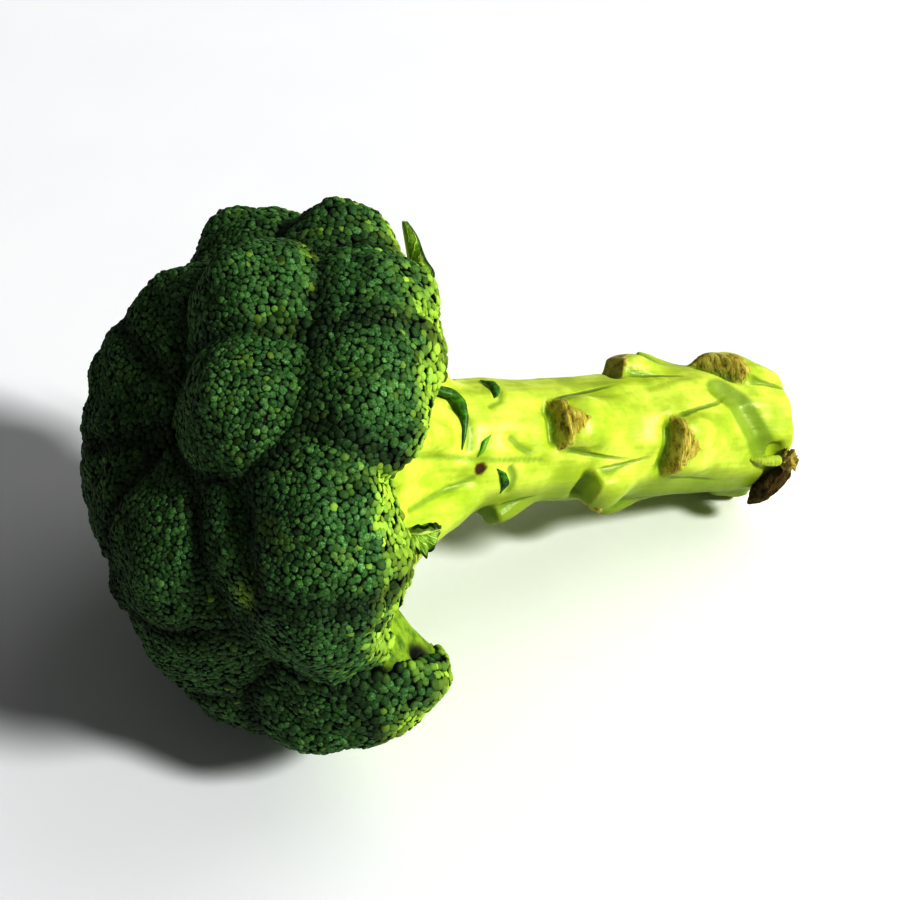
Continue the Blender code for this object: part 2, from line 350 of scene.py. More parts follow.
def makeBudSkin():
    material, skin, place = newMaterial("budSkin")
    tip, tint, tone = place.value("tip"), place.value("tint"), place.value("tone")
    mottle = place.grain(budLook["mottle"], 3)
    broad = place.grain(budLook["broad"], 2)
    fine = place.grain(budLook["fine"], 2)
    height = tip + (mottle - 0.5) * 0.5
    side = tone.blend(budLook["side"], budLook["yellowSide"])
    top = tone.blend(budLook["top"], budLook["yellowTop"])
    # tops paler than sides: partly the buds' own paler tips, partly painted light on the tops and painted shade
    # on the sides
    skinColour = height.between(*budLook["sideToTop"]).blend(side, top)
    bloomShare = (height.between(*budLook["bloomOnTop"]) * mottle.between(*budLook["bloomPatches"])
                  * (0.25 + tint * 0.6) * (1.0 - tone * 0.6))
    skinColour = bloomShare.blend(skinColour, budLook["bloom"])
    # painted shade: each bud's foot takes the near-black gap colour, standing in for the shade between the buds
    skinColour = height.between(*budLook["outOfGapShade"]).blend(budLook["gap"], skinColour)
    # the shade attribute is painted shade, multiplied in with each bud's own random tint and mottling
    shade = (0.55 + tint * 0.7) * (0.7 + broad * 0.6) * place.value("shade")
    skinColour = skinColour.vector("MULTIPLY", shade.joined(shade, shade))
    plug(skin, Base_Color=skinColour, Roughness=0.5 + mottle * 0.25,
         Normal=bumpOf(fine * 0.4 + mottle, 0.35, 0.12))
    skin.inputs["Specular IOR Level"].default_value = budLook["gloss"]
    return material


coreLook = {
    "dark": colour(6, 14, 5), "green": colour(34, 58, 20), "bare": colour(160, 186, 64),
    "bareDark": colour(84, 118, 32), "hollow": colour(16, 30, 8), "mottle": 1.1, "broad": 6,
}


def makeCoreSkin():
    material, skin, place = newMaterial("coreSkin")
    bare = place.value("bare")
    mottle = place.grain(coreLook["mottle"], 4)
    broad = place.grain(coreLook["broad"], 3)
    # very dark core green showing between buds: partly the core's own colour, partly painted shade in the
    # crevices
    green = mottle.between(0.35, 0.7).blend(coreLook["dark"], coreLook["green"])
    pale = (mottle * 0.2 + broad * 0.8).between(0.3, 0.6).blend(coreLook["bareDark"], coreLook["bare"])
    # painted shade: the hood's hollow is painted near black-green over its dent
    pale = (place.value("hollow") + (broad - 0.5) * 0.4).between(0.2, 0.7).blend(pale, coreLook["hollow"])
    plug(skin, Base_Color=bare.blend(green, pale), Roughness=0.45 + broad * 0.3,
         Normal=bumpOf(mottle + broad, 0.5, 0.4))
    return material


# lean and around in degrees, reach and radius in mm
florets = {
    "crown": (16, 185, 35, 20), "crown_near": (36, 92, 43, 19), "crown_far": (38, 296, 41, 19),
    "upper_near": (59, 25, 51, 17), "upper_far": (61, 322, 46, 18), "middle_near": (58, 72, 43, 17),
    "lower_near": (52, 130, 46, 19), "lower_far": (52, 182, 41, 21), "far": (52, 240, 43, 21),
    "rim_top": (71, 353, 54, 18), "rim_top_far": (102, 336, 60, 16), "rim_top_rear": (101, 3, 53, 20),
    "rim_upper_near": (93, 35, 56, 18), "rim_near": (80, 59, 54, 20), "rim_lower_near": (83, 85, 55, 18),
    "rim_low_near": (92, 129, 59, 19), "rim_low_rear": (106, 113, 62, 15),
    "rim_bottom_near": (79, 150, 53, 20), "under_near": (98, 164, 57, 20), "under_far": (96, 200, 56, 21),
    "rim_lower_far": (89, 233, 54, 21), "rim_far": (87, 268, 54, 21), "rim_upper_far": (89, 308, 56, 20),
}
turnedDown = {"rim_low_rear": (97, 138)}  # lean and around of its budded face

# sizes and depths in mm, the bud zone in degrees from a floret's face
floretLook = {
    "voxel": 1.5, "skinVoxel": 0.95, "fill": 14.0, "easing": 4, "rounding": 10, "ironing": 150, "kept": 0.5,
    "forward": 0.55, "budZone": 106, "bareEdge": (-8, 4), "bareRelief": 0.3, "sunk": 0.4, "lowest": 0.3,
    "seamSize": 6, "seamStray": 0.8, "edgeSize": 5, "edgeStray": 8,
    "lobe": 10.5, "lobeDepth": 1.1, "lobeSeeds": 9000, "clump": 4.8, "clumpDepth": 0.35, "clumpSeeds": 22000,
    "seedGap": 0.86, "bulgeReach": 0.74, "crease": 2.4, "creaseWidth": 7.0, "creaseSharp": 1.4,
    "creaseRange": (0.25, 1.15), "creaseLeast": 0.35, "creaseJoined": 0.1,
    "hood": (22, 62.5, 105), "hoodWidth": 5.0, "hoodDepth": 4.0,
}


def domeOf(name):
    lean, around, reach, radius = florets[name]
    outward = pointing(lean, around)
    middle = crownMiddle + outward * reach * mm
    facing = (outward + axis * floretLook["forward"] * math.sin(math.radians(lean))).normalized()
    if name in turnedDown:
        facing = pointing(*turnedDown[name])
    return middle, facing, radius * mm


def bulges(places, spacing, seedPlaces):
    seeds = seedPlaces[thinned(seedPlaces, np.full(len(seedPlaces), spacing * floretLook["seedGap"]))]
    away = nearestOf(treeOf(seeds), places)[1]
    return np.sqrt(np.clip(1 - (away / (spacing * floretLook["bulgeReach"])) ** 2, 0, 1))


# florets that have grown into one another, and the size of the ball between them in mm
joinedDeep = (
    ("rim_near", "rim_lower_near", 22), ("rim_low_near", "rim_low_rear", 18),
    ("rim_upper_near", "rim_top_rear", 19),
)
fillers = joinedDeep + (
    ("crown", "crown_far", 21), ("crown", "crown_near", 20), ("crown_near", "lower_near", 20),
    ("crown", "far", 21), ("upper_far", "crown_far", 19), ("rim_bottom_near", "rim_low_near", 19),
    ("rim_bottom_near", "lower_near", 19),
)


def makeHeadSkin():
    # the florets joined, then swelled and shrunk again, which fills the gaps between them
    parts = [copyOfNode("floret_" + name, "floret_part") for name in florets]
    for first, second, radius in fillers:
        middle = (domeOf(first)[0] + domeOf(second)[0]) / 2
        bpy.ops.mesh.primitive_uv_sphere_add(segments=32, ring_count=16, radius=radius * mm,
                                             location=middle)
        parts.append(bpy.context.object)
    only(*parts)
    bpy.ops.object.join()
    skin = bpy.context.object
    remesh(skin, floretLook["voxel"])
    for step in (1, -1):
        addModifier(skin, "DISPLACE", mid_level=0.0, strength=step * floretLook["fill"] * mm)
        remesh(skin, floretLook["voxel"])
        ease(skin, floretLook["easing"])
    remesh(skin, floretLook["skinVoxel"])
    ease(skin, floretLook["rounding"])
    sharp = placesOf(skin.data)
    ease(skin, floretLook["ironing"])
    ironed = placesOf(skin.data)
    setPlaces(skin.data, ironed + (sharp - ironed) * floretLook["kept"])
    return skin


def ownersOf(places):
    # the floret that each place belongs to, and how far the next one is beyond it
    away = []
    for name in florets:
        middle, _, radius = domeOf(name)
        away.append(awayFrom(middle, places) - radius)
    away = np.array(away)
    ranked = np.sort(away, axis=0)
    return away.argmin(axis=0), away.argsort(axis=0)[1], ranked[1] - ranked[0]


def turnsOf(places, owner):
    turn = np.empty(len(places))
    for number, name in enumerate(florets):
        middle, facing, _ = domeOf(name)
        mine = owner == number
        turn[mine] = degreesFrom(facing, unit(places[mine] - np.array(middle)))
    return turn


# florets that sit a little further forward than their bodies: how far, and over what size, in mm
nudges = (("rim_upper_near", 6.5, 24), ("rim_near", 5.5, 24), ("rim_lower_near", 8.5, 24))


def makeCores():
    skin = makeHeadSkin()
    mesh = skin.data
    places, normals = placesOf(mesh), normalsOf(mesh)
    stray = wander(places, floretLook["seamSize"] * mm) * floretLook["seamStray"] * mm
    owner, nextOwner, gap = ownersOf(places + stray[:, None] * normals)
    turn = turnsOf(places, owner)
    pairs = rng.uniform(*floretLook["creaseRange"], (len(florets), len(florets)))
    pairs = np.minimum(pairs, pairs.T) + floretLook["creaseLeast"]
    order = list(florets)
    for first, second, _ in joinedDeep:
        here, there = order.index(first), order.index(second)
        pairs[here, there] = pairs[there, here] = floretLook["creaseJoined"]
    crease = np.clip(1 - gap / (floretLook["creaseWidth"] * mm), 0, 1) ** floretLook["creaseSharp"]
    crease = crease * pairs[owner, nextOwner] * floretLook["crease"]
    lobes = bulges(places, floretLook["lobe"] * mm, rng.permutation(places)[:floretLook["lobeSeeds"]])
    clumps = bulges(places, floretLook["clump"] * mm, rng.permutation(places)[:floretLook["clumpSeeds"]])
    budded, naked = (floretLook["budZone"] + edge for edge in floretLook["bareEdge"])
    stray = wander(places, floretLook["edgeSize"] * mm) * floretLook["edgeStray"]
    bare = smooth(budded, naked, turn + stray)
    depth = ((lobes - 1) * floretLook["lobeDepth"] + (clumps - 1) * floretLook["clumpDepth"]
             - crease - floretLook["sunk"])
    places += normals * (depth * (1 - bare * (1 - floretLook["bareRelief"])) * mm)[:, None]
    # the hood's mask dents the bare underside and also carries the painted shade of its hollow
    hood = awayFrom(spot(*floretLook["hood"]), places) / (floretLook["hoodWidth"] * mm)
    hood = np.exp(-hood ** 2) * bare
    places -= normals * (hood * floretLook["hoodDepth"] * mm)[:, None]
    for name, forward, size in nudges:
        share = np.exp(-(awayFrom(domeOf(name)[0], places) / (size * mm)) ** 2)
        places += share[:, None] * np.array(axis * forward * mm)
    places[:, 2] = np.maximum(places[:, 2], floretLook["lowest"] * mm)
    corners = readOut(mesh.loops, "vertex_index")
    starts, totals = readOut(mesh.polygons, "loop_start"), readOut(mesh.polygons, "loop_total")
    faceOwner = owner[corners[starts]]
    cores = {}
    for number, name in enumerate(florets):
        faces = [corners[s:s + t] for s, t in zip(starts[faceOwner == number], totals[faceOwner == number])]
        used, packed = np.unique(np.concatenate(faces), return_inverse=True)
        cuts = np.cumsum([len(face) for face in faces])[:-1]
        coreMesh = bpy.data.meshes.new("floret_" + name)
        coreMesh.from_pydata(places[used].tolist(), [], [face.tolist() for face in np.split(packed, cuts)])
        setValues(coreMesh, "bare", bare[used])
        setValues(coreMesh, "hollow", hood[used])
        for key in ("tip", "tint", "tone", "shade"):
            setValues(coreMesh, key, np.zeros(len(used)))
        cores[name] = newPiece("floret_" + name + "_buds", coreMesh)
    bpy.data.objects.remove(skin)
    return cores


bud = {"segments": 8, "rings": 6, "groove": 0.94, "pressed": 0.95, "flat": 0.52, "cut": -0.7}


def makeBudShape():
    bpy.ops.mesh.primitive_uv_sphere_add(segments=bud["segments"], ring_count=bud["rings"], radius=1)
    shape = bpy.context.object
    shape.name = "bud"
    bpy.ops.object.mode_set(mode="EDIT")
    bpy.ops.mesh.select_all(action="SELECT")
    bpy.ops.mesh.bisect(plane_co=(0, 0, bud["cut"]), plane_no=(0, 0, 1), clear_inner=True)
    bpy.ops.mesh.select_mode(type="VERT")
    bpy.ops.mesh.select_all(action="DESELECT")
    bpy.ops.object.mode_set(mode="OBJECT")
    for vertex in shape.data.vertices:
        radius = max(vertex.co.xy.length, 0.001)
        vertex.co.xy *= min(radius, 1) ** bud["flat"] / radius
        step = round(math.atan2(vertex.co.y, vertex.co.x) / (2 * math.pi / bud["segments"])) % 2
        vertex.select = step == 1 and vertex.co.z > 0.1 and vertex.co.xy.length > 0.01
    bpy.ops.object.mode_set(mode="EDIT")
    bpy.ops.transform.resize(value=(bud["groove"], bud["groove"], bud["pressed"]), center_override=(0, 0, 0))
    bpy.ops.object.mode_set(mode="OBJECT")
    return shape


def spotsOn(core, count):
    mesh = core.data
    places, normals, triangles = placesOf(mesh), normalsOf(mesh), trianglesOf(mesh)
    corner = places[triangles]
    areas = np.linalg.norm(np.cross(corner[:, 1] - corner[:, 0], corner[:, 2] - corner[:, 0]), axis=1) / 2
    chosen = rng.choice(len(triangles), count, p=areas / areas.sum())
    u, v = rng.random((2, count))
    over = u + v > 1
    u[over], v[over] = 1 - u[over], 1 - v[over]
    weights = np.stack([1 - u - v, u, v], 1)[:, :, None]
    spots = (places[triangles[chosen]] * weights).sum(1)
    ways = unit((normals[triangles[chosen]] * weights).sum(1))
    return spots, ways, areas.sum() / count


# widths and reaches in mm; the narrowest, widest and packing are shares of a bud's own width
budScatter = {
    "width": 1.34, "rimWidth": 2.0, "perBud": 11, "budArea": 1.9, "trial": 10, "settling": 4, "fill": 1.3,
    "packing": 0.80, "narrowest": 0.55, "widest": 1.35, "clearFrom": 0.3, "clearReach": 1.3,
    "gazes": 10, "gazeSpread": 0.7, "gazeFrom": 0.9, "gazeReach": 70, "edgeStray": 6,
    "rimLean": (45, 110), "faceWidth": 0.92, "wider": 0.25, "widerTurn": (40, 105),
    "uneven": 0.22, "unevenSize": 7,
}


def budWidth(spots, turn):
    lean = degreesFrom(axis, unit(spots - np.array(crownMiddle)))
    more = budScatter["rimWidth"] - budScatter["width"]
    width = budScatter["width"] + more * smooth(*budScatter["rimLean"], lean)
    width *= budScatter["faceWidth"] + budScatter["wider"] * smooth(*budScatter["widerTurn"], turn)
    return width * (1 + wander(spots, budScatter["unevenSize"] * mm) * budScatter["uneven"]) * mm


def scatterBuds(name, core, everything, shape):
    middle, facing, _ = domeOf(name)
    area = spotsOn(core, budScatter["trial"])[2] * budScatter["trial"]
    count = int(area / (budScatter["budArea"] * mm * mm) * budScatter["perBud"])
    spots, ways, share = spotsOn(core, count)
    turn = degreesFrom(facing, unit(spots - np.array(middle)))
    stray = wander(spots, floretLook["edgeSize"] * mm) * budScatter["edgeStray"]
    clear = turn < floretLook["budZone"] + stray
    for number in np.flatnonzero(clear):
        way = Vector(ways[number])
        start = Vector(spots[number]) + way * budScatter["clearFrom"] * mm
        if everything.ray_cast(start, way, budScatter["clearReach"] * mm)[0] is not None:
            clear[number] = False
    spots, ways, turn = spots[clear], ways[clear], turn[clear]
    width = budWidth(spots, turn)
    kept = thinned(spots, width * budScatter["packing"])
    for _ in range(budScatter["settling"]):  # each bud moves to the middle of the ground it covers
        owner = nearestOf(treeOf(spots[kept]), spots)[0]
        count = np.bincount(owner, minlength=len(kept)).astype(float)
        centre = np.stack([np.bincount(owner, spots[:, k], len(kept)) for k in range(3)], 1)
        centre /= np.maximum(count, 1)[:, None]
        kept = np.unique(nearestOf(treeOf(spots), centre)[0])
    owner = nearestOf(treeOf(spots[kept]), spots)[0]
    cell = np.bincount(owner, minlength=len(kept)) * share
    width = np.clip(np.sqrt(cell * 4 / math.pi),
                    budScatter["narrowest"] * width[kept], budScatter["widest"] * width[kept])
    spots, ways, turn = spots[kept], ways[kept], turn[kept]
    seen = np.zeros(len(spots), bool)  # a bud that no gaze reaches is left out
    reach = budScatter["gazeReach"] * mm
    swings = rng.normal(0, budScatter["gazeSpread"], (budScatter["gazes"], 3))
    for number, way in enumerate(ways):
        way = Vector(way)
        start = Vector(spots[number]) + way * budScatter["gazeFrom"] * mm
        for swing in swings:
            gaze = (way + Vector(swing)).normalized()
            if gaze.dot(way) > 0.1 and everything.ray_cast(start, gaze, reach)[0] is None:
                seen[number] = True
                break
    spots, ways, turn, width = spots[seen], ways[seen], turn[seen], width[seen]
    return layBuds(name, spots, ways, turn, width, shape)


# yellow-green patches: lean and around in degrees, reach of the middle and size in mm
patches = ((88, 52, 64, 6), (61, 79, 60, 7), (104, 118, 70, 13))
toneLook = {
    "rear": 0.85, "rearFrom": (0.1, 0.7), "cloudSize": 8, "cloudShift": 3.1, "cloud": 0.2,
    "strays": 0.05, "strayFrom": (-0.5, 0.3), "stray": 0.5, "patch": 0.8, "patchEdge": (0.4, 1.1),
    "spread": 0.06, "creaseShade": 0.45, "creaseEdge": (0.5, 6), "tint": (0.5, 0.24),
}


def toneOf(spots, ways):
    rearward = -(ways @ np.array(axis))
    tone = smooth(*toneLook["rearFrom"], rearward) * toneLook["rear"]
    clouds = wander(spots, toneLook["cloudSize"] * mm, toneLook["cloudShift"])
    tone += np.clip(clouds * 0.8 - 0.3, 0, toneLook["cloud"])
    likely = toneLook["strays"] * smooth(*toneLook["strayFrom"], rearward)
    tone += (rng.random(len(spots)) < likely) * toneLook["stray"]
    for lean, around, reach, size in patches:
        away = awayFrom(onCrown(lean, around, reach), spots)
        tone += toneLook["patch"] * (1 - smooth(*toneLook["patchEdge"], away / (size * mm)))
    return np.clip(tone + rng.normal(0, toneLook["spread"], len(spots)), 0, 1)


# painted shade, darker areas standing in for the head's shaded sides and recessed middle: lean, around, reach,
# size and strength
paintedShadeSpots = ((25, 170, 60, 34, 0.5), (62, 195, 66, 26, 0.45), (80, 160, 68, 24, 0.65), (95, 175, 70, 20, 0.4),
          (60, 270, 62, 30, 0.4), (85, 330, 66, 18, 0.2))


def shadeOf(spots):
    # painted shade: buds near the creases between florets are darkened
    darkest = toneLook["creaseShade"]
    shade = darkest + (1 - darkest) * smooth(*toneLook["creaseEdge"], ownersOf(spots)[2] / mm)
    for lean, around, reach, size, strength in paintedShadeSpots:
        away = awayFrom(onCrown(lean, around, reach), spots)
        shade *= 1 - strength * np.exp(-(away / (size * mm)) ** 2)
    return shade


# heights are shares of a bud's width, and the spreads are how far the buds differ
budBuild = {
    "tall": 0.66, "rimTaller": 0.6, "tallSpread": 0.1, "leanSpread": 0.2, "squeezeSpread": 0.07,
    "rimTurn": (78, 105), "lift": 0.10, "liftSpread": 0.06, "lowest": 0.05,
}


def layBuds(name, spots, ways, turn, width, shape):
    count = len(spots)
    tall = width * (budBuild["tall"] + budBuild["rimTaller"] * smooth(*budBuild["rimTurn"], turn))
    tall = tall * rng.normal(1, budBuild["tallSpread"], count)
    up = unit(ways + rng.normal(0, budBuild["leanSpread"], (count, 3)))
    side = unit(np.cross(up, rng.normal(0, 1, (count, 3))))
    other = np.cross(up, side)
    wide = width * budScatter["fill"] / 2
    squeeze = rng.normal(1, budBuild["squeezeSpread"], count)
    lift = rng.normal(budBuild["lift"], budBuild["liftSpread"], count)
    spots = spots + ways * (tall * lift)[:, None]
    base = placesOf(shape.data)
    across = base[None, :, 0, None] * (side * (wide * squeeze)[:, None])[:, None]
    along = base[None, :, 1, None] * (other * (wide / squeeze)[:, None])[:, None]
    rise = base[None, :, 2, None] * (up * (tall / 2)[:, None])[:, None]
    places = (spots[:, None] + across + along + rise).reshape(-1, 3)
    places[:, 2] = np.maximum(places[:, 2], budBuild["lowest"] * mm)
    faces = [tuple(face.vertices) for face in shape.data.polygons]
    totals = np.array([len(face) for face in faces])
    loops = np.concatenate([np.array(face) for face in faces])
    mesh = bpy.data.meshes.new(name)
    mesh.vertices.add(len(places))
    mesh.vertices.foreach_set("co", places.astype(np.float32).ravel())
    corners = (loops[None] + np.arange(count)[:, None] * len(base)).ravel()
    mesh.loops.add(len(corners))
    mesh.loops.foreach_set("vertex_index", corners.astype(np.int32))
    starts = np.concatenate([[0], np.cumsum(np.tile(totals, count))[:-1]])
    mesh.polygons.add(len(starts))
    mesh.polygons.foreach_set("loop_start", starts.astype(np.int32))
    mesh.update(calc_edges=True)
    mesh.validate()
    height = (base[:, 2] - base[:, 2].min()) / np.ptp(base[:, 2])
    setValues(mesh, "tip", np.tile(height, count))
    tint = np.clip(rng.normal(*toneLook["tint"], count), 0, 1)
    setValues(mesh, "tint", np.repeat(tint, len(base)))
    setValues(mesh, "tone", np.repeat(toneOf(spots, ways), len(base)))
    setValues(mesh, "shade", np.repeat(shadeOf(spots), len(base)))
    setValues(mesh, "bare", np.zeros(len(places)))
    return newPiece(name, mesh)


budSkin, coreSkin = makeBudSkin(), makeCoreSkin()
cores = makeCores()
print("floret cores", sum(len(core.data.polygons) for core in cores.values()), "faces")

allPlaces, allTriangles, start = [], [], 0
for core in list(cores.values()) + [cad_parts["stalk"]]:
    allPlaces.append(placesOf(core.data))
    allTriangles.append(trianglesOf(core.data) + start)
    start += len(allPlaces[-1])
everything = BVHTree.FromPolygons([Vector(p) for p in np.concatenate(allPlaces)],
                                  np.concatenate(allTriangles).tolist())
budShape = makeBudShape()
budTotal = 0
for name, core in cores.items():
    buds = scatterBuds(name, core, everything, budShape)
    budTotal += len(buds.data.vertices) // len(budShape.data.vertices)
    core.data.materials.append(coreSkin)
    buds.data.materials.append(budSkin)
    only(core, buds)
    bpy.ops.object.join()
    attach(core, "root")
    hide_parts("floret_" + name)
bpy.data.objects.remove(budShape)
print("florets done,", budTotal, "buds")


stalkLook = {
    "skin": colour(208, 223, 94), "bright": colour(230, 239, 122), "deep": colour(174, 194, 60),
    "scar": colour(226, 216, 126), "scarMiddle": colour(198, 184, 86), "scarDark": colour(134, 118, 46),
    "line": colour(134, 162, 54), "cut": colour(224, 230, 180), "ring": colour(180, 204, 112),
    "brown": colour(92, 66, 20), "under": colour(134, 158, 42),
    "leaf": colour(96, 150, 44), "leafDark": colour(40, 86, 26), "leafPale": colour(140, 190, 60),
    "voxel": 0.85, "rounding": 6, "easing": 2, "end": 163, "lumps": ((11, 0.5), (4, 0.12)),
    "broad": 13, "fleck": 1.2, "ragged": 2.4, "cutGrain": 0.9, "glow": 0.1, "glowReach": (0.002, 0.003, 0.0008),
    "shades": (0.32, 0.62), "brights": (0.44, 0.68), "flecks": (0.66, 0.74), "undersideShade": (0.28, 0.95),
    "ringInner": (11.0, 12.5), "ringOuter": (14.0, 15.5),
}
# a leaf scar's cushion: its step and the hollow in front of it, in mm
cushion = {"step": 4.2, "hollow": 2.4, "hollowPlace": 4.2, "hollowWidth": 1.8, "fade": (20, 50)}
# a scar's outline in mm: how far its point and flanks reach, and where its edges and its line fade
scarLook = {
    "facing": (4, 12), "point": 4.0, "pointNarrow": 1.7, "flank": 1.6, "ragged": 6.0, "front": (-0.5, 0.6),
    "rear": (-3.6, -2.6), "sides": (0.85, 1.0), "flare": 0.16, "lineWidth": (0.15, 0.75),
    "lineStart": (-2.5, 0.5), "lineEnd": (0.4, 0.9), "inside": (13.0, 15.5), "fibre": 2.2,
}
# leaf scars: distance back from the crown's middle, angle round, half height, cushion length,
# slant, torn or not
scars = (
    (79, 34, 7.6, 28, 0.0, 1), (111, 322, 6.6, 24, 0.1, 1), (118, 62, 9.2, 26, 0.12, 1),
    (145, 347, 7.6, 18, -0.7, 1), (92, 100, 6.4, 20, 0.0, 0), (124, 296, 6.4, 20, 0.0, 0),
    (104, 160, 7.0, 24, 0.1, 1), (130, 240, 7.2, 24, 0.0, 1), (74, 205, 6.6, 22, 0.0, 1),
    (62, 128, 5.0, 14, 0.0, 0),
)
# grooves where the arms run together: (depth, width in mm), then places as (back, out, around)
grooves = (
    (0.7, 1.6, ((22, 27, 50), (30, 22, 53), (37, 20, 55.4), (46, 19.7, 58), (56, 19.7, 62), (70, 19, 65.6))),
    (0.9, 1.3, ((25, 27, 84), (33, 23, 82.7), (39, 20.2, 82.3), (44, 19.9, 78.5), (48, 19.4, 75.7))),
    (0.8, 1.6, ((44, 19.5, 12), (47, 19.5, 22), (47, 19.8, 36), (46, 19.6, 50))),
    (0.8, 1.2, ((60, 19.4, 345), (62, 19.4, 357), (60, 19.4, 9), (56, 19.4, 14))),
    (0.9, 1.5, ((60, 19.4, 44), (62, 19.4, 50), (66, 19.4, 57))),
    (1.0, 1.5, ((60, 19.4, 70), (62, 19.4, 80), (61, 19.5, 92))),
    (0.5, 1.0, ((70, 18.9, 20), (86, 18.8, 12), (104, 19.2, 8), (128, 20.2, 355))),
    (2.0, 4.2, ((138, 20.2, 12), (142, 20.4, 26), (144, 20.3, 38), (147, 20.4, 52), (150, 20.3, 66))),
)
# what is left of small leaves at the neck: radii in mm, flatness, paleness, places
remnants = (
    ((0.5, 1.2, 1.4, 0.9), 0.7, 0.1,
     ((58.5, 19.6, 338), (60.5, 19.9, 349), (60.0, 20.0, 358), (58.6, 19.8, 7))),
    ((0.8, 1.9, 2.0, 1.7, 1.3, 1.0, 0.8, 0.6), 0.75, 0.15,
     ((36, 22.5, 357), (40, 21.5, 359), (44.5, 20.8, 3), (46.2, 20.6, 12), (46.0, 20.3, 25), (44.8, 20.0, 38),
      (43.5, 20.0, 51))),
    ((0.3, 1.0, 1.3, 0.6), 0.6, 0.0,
     ((55.0, 19.6, 68), (57.3, 19.9, 74), (58.6, 19.9, 82), (58.0, 19.7, 93))),
    ((0.3, 0.8, 0.7, 0.5), 0.7, 0.8,
     ((53.5, 19.6, 40), (51.0, 20.0, 46), (50.0, 19.9, 52), (48.6, 19.8, 57))),
)
brownSpot = {"place": (49.8, 19.6, 68), "depth": 0.8, "width": 2.2, "stain": 2.6}


def distanceTo(places, spots):
    line = pathThrough(spots, np.linspace(0, 1, sweep["marks"]))
    return np.min(np.linalg.norm(places[:, None] - line[None], axis=2), axis=1) / mm


def makeStalkSkin():
    material, skin, place = newMaterial("stalkSkin")
    fromMiddle, back, high, near = alongStalk(place)
    out = (high * high + near * near).maths("SQRT")
    broad = place.grain(stalkLook["broad"], 3)
    lengthwise = (back * 0.07).joined(high * 0.5, near * 0.5)
    streak = lengthwise.node("ShaderNodeTexNoise", None, {"Vector": lengthwise, "Scale": 1.0, "Detail": 4.0})
    fleck = place.grain(stalkLook["fleck"], 3)
    ragged = place.grain(stalkLook["ragged"], 4) - 0.5
    fibre = (back * 1.3).joined(high * 0.28, near * 0.28).fibre()
    mixed = broad * 0.8 + streak * 0.2
    skinColour = mixed.between(*stalkLook["shades"]).blend(stalkLook["deep"], stalkLook["skin"])
    skinColour = (mixed.between(*stalkLook["brights"]) * 0.6).blend(skinColour, stalkLook["bright"])
    # painted shade: the stalk's lower side is painted a darker green
    under = (near * 0.5 - high * 0.86) / out.most(1.0) + (broad - 0.5) * 0.3
    skinColour = (under.between(*stalkLook["undersideShade"]) * 0.85).blend(skinColour, stalkLook["under"])
    skinColour = (fleck.between(*stalkLook["flecks"]) * 0.5).blend(skinColour, stalkLook["deep"])
    scarred, lined = 0.0, 0.0
    for scarBack, scarAround, tall, long, slant, torn in scars:
        middle = pointing(90, scarAround)
        side = middle.cross(axis)
        facing = (fromMiddle.dot(middle) / mm).between(*scarLook["facing"])
        u = fromMiddle.dot(side) / mm
        v = back - float(scarBack) + u * slant
        wide = abs(u) / tall
        point = (1.0 - wide * scarLook["pointNarrow"]).most(0.0) * scarLook["point"]
        reach = point + (1.0 - wide) * scarLook["flank"] - 0.5
        patch = (reach - v + ragged * scarLook["ragged"]).between(*scarLook["front"])
        patch = patch * (v + ragged * 2.0).between(*scarLook["rear"])
        patch = patch * (1.0 - (wide + ragged * 0.3).between(*scarLook["sides"]))
        edge = abs(abs(u) - ((v + 2.0).most(0.0) * scarLook["flare"] + tall) + ragged * 0.5)
        line = (1.0 - edge.between(*scarLook["lineWidth"])) * v.between(*scarLook["lineStart"])
        line = line * (1.0 - v.between(*(long * end for end in scarLook["lineEnd"])))
        patch, line = patch * facing * float(torn), line * facing
        scarred, lined = patch.most(scarred), line.most(lined)
    outer = out.between(*scarLook["inside"])
    scarred, lined = scarred * outer, lined * outer * (1.0 - scarred)
    # dark lines along the cushions' edges: partly their own colour, partly painted shade in the grooves that
    # outline the leaf bases
    skinColour = (lined * 0.8).blend(skinColour, stalkLook["line"])
    scarColour = (fibre * 0.7 + fleck * 0.3).between(0.36, 0.5)
    scarColour = scarColour.blend(stalkLook["scarDark"], stalkLook["scarMiddle"])
    scarColour = (fibre * 0.7 + broad * 0.3).between(0.47, 0.6).blend(scarColour, stalkLook["scar"])
    skinColour = scarred.between(0.25, 0.7).blend(skinColour, scarColour)
    # painted shade: the grooves and the hollows in front of the cushions are painted darker green
    skinColour = (place.value("groove").between(0.25, 0.9) * 0.75).blend(skinColour, stalkLook["line"])
    skinColour = (place.value("spot") + ragged * 0.8).between(0.4, 0.75).blend(skinColour, stalkLook["brown"])
    leafy = place.value("leafy")
    leafColour = (streak * 0.4 + fleck * 0.6).between(0.4, 0.62).blend(stalkLook["leafDark"], stalkLook["leaf"])
    leafColour = place.value("leafTone").blend(leafColour, stalkLook["leafPale"])
    skinColour = leafy.between(0.3, 0.7).blend(skinColour, leafColour)
    cut = back.between(stalkLook["end"] - 0.6, stalkLook["end"] - 0.1)
    uneven = out + ragged * 1.2
    ring = uneven.between(*stalkLook["ringInner"]) * (1.0 - uneven.between(*stalkLook["ringOuter"]))
    cutGrain = place.grain(stalkLook["cutGrain"], 3)
    cutColour = (ring * 0.8 + cutGrain * 0.3).blend(stalkLook["cut"], stalkLook["ring"])
    skinColour = cut.blend(skinColour, cutColour)
    relief = streak * 0.35 + fleck * 0.15 - lined * 1.2 + scarred * fibre * scarLook["fibre"]
    plug(skin, Base_Color=skinColour, Roughness=0.34 + fleck * 0.16 + scarred * 0.35,
         Normal=bumpOf(relief, 0.5, 0.9))
    skin.inputs["Subsurface Weight"].default_value = stalkLook["glow"]
    skin.inputs["Subsurface Radius"].default_value = stalkLook["glowReach"]
    return material


